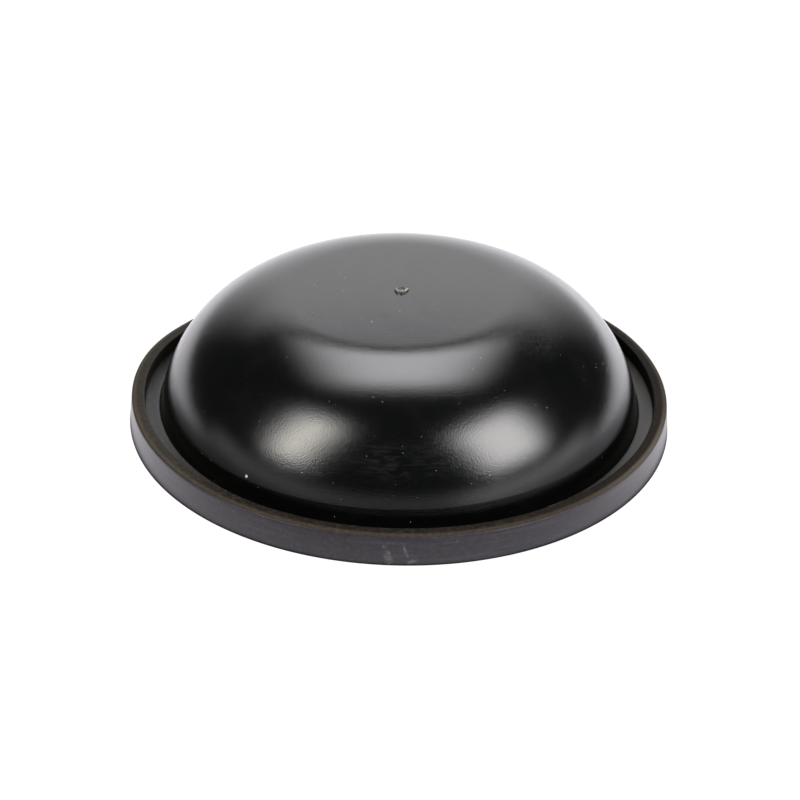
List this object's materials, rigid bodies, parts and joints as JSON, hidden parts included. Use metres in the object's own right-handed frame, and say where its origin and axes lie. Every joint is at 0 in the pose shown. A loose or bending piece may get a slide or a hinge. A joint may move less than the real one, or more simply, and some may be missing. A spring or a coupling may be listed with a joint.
{
  "type": "rubber cup diaphragm seal",
  "caption": "Domed black rubber diaphragm seal with a flat flange and a raised clamping bead round its edge, hollow underneath.",
  "frame": {"origin": "centre of the flat underside of the flange, on the axis of the cup", "axes": "+Z along the axis of the cup, from the underside towards the crown; X and Y lie in the underside"},
  "size_m": [0.185, 0.185, 0.0475],
  "materials": {
    "rubber": "satin black moulded rubber with a fine grain"
  },
  "bodies": {
    "root": {"diaphragm": "rubber"}
  },
  "joints": []
}
